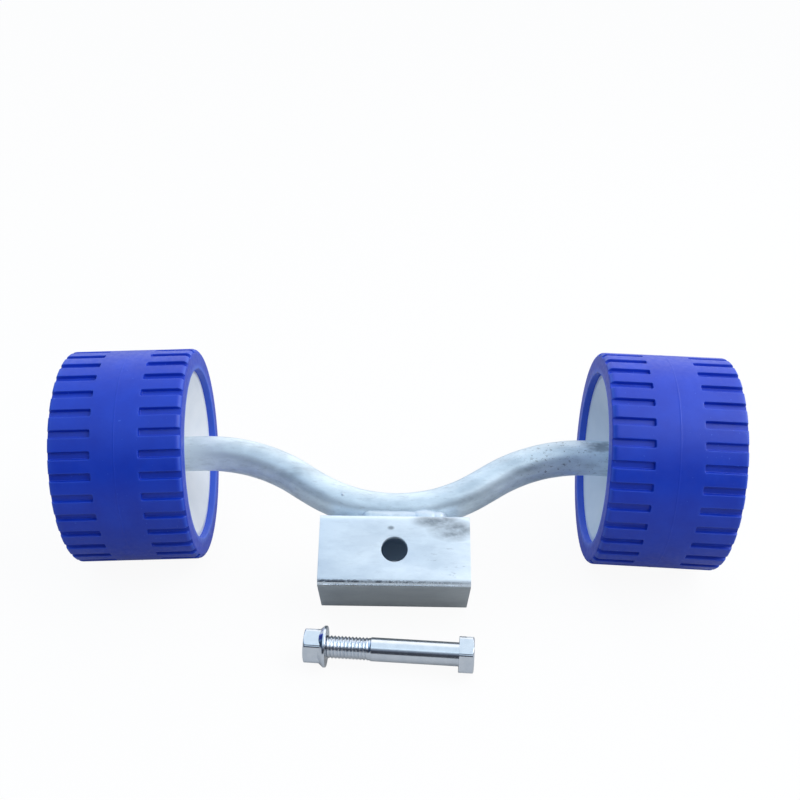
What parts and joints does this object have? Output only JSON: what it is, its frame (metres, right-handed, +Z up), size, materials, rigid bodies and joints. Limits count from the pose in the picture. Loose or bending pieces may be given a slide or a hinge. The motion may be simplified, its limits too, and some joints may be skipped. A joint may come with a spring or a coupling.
{
  "type": "boat trailer roller",
  "caption": "Gull-wing boat trailer roller: two ribbed wheels on a bent round bar, a welded square tube with a bolt hole, and its bolt and nut.",
  "frame": {"origin": "middle of the bolt hole, half-way between the square tube's front and back walls", "axes": "+X along the axle to the right-hand wheel, +Y away from the viewer, +Z up, with the roller lying on a floor on both wheels and on the tube's lower back edge"},
  "size_m": [0.3664, 0.1787, 0.1215],
  "materials": {
    "galvanised_steel": "hot-dip galvanised, mottled, soft sheen",
    "zinc_plated_steel": "bright blue-white zinc plate",
    "blue_polyurethane": "moulded blue polyurethane, satin gloss",
    "white_plastic": "moulded white plastic, smooth"
  },
  "bodies": {
    "welded_frame": {"axle_bar": "galvanised_steel", "bracket_tube": "galvanised_steel", "weld_front": "galvanised_steel", "weld_back": "galvanised_steel", "hex_bolt": "zinc_plated_steel", "flange_nut": "zinc_plated_steel", "left_stop_collar": "galvanised_steel", "left_inner_washer": "zinc_plated_steel", "left_outer_washer": "zinc_plated_steel", "left_split_pin": "zinc_plated_steel", "right_stop_collar": "galvanised_steel", "right_inner_washer": "zinc_plated_steel", "right_outer_washer": "zinc_plated_steel", "right_split_pin": "zinc_plated_steel"},
    "left_wheel": {"left_tyre": "blue_polyurethane", "left_core": "white_plastic"},
    "right_wheel": {"right_tyre": "blue_polyurethane", "right_core": "white_plastic"}
  },
  "joints": [
    {"name": "left_wheel_spin", "type": "hinge", "parent": "welded_frame", "child": "left_wheel", "pos_m": [-0.14615, 0.05229, 0.0346], "axis": [0.999, 0.0364, 0.0241], "continuous": true},
    {"name": "right_wheel_spin", "type": "hinge", "parent": "welded_frame", "child": "right_wheel", "pos_m": [0.14615, 0.05229, 0.0346], "axis": [0.999, -0.0364, -0.0241], "continuous": true}
  ]
}
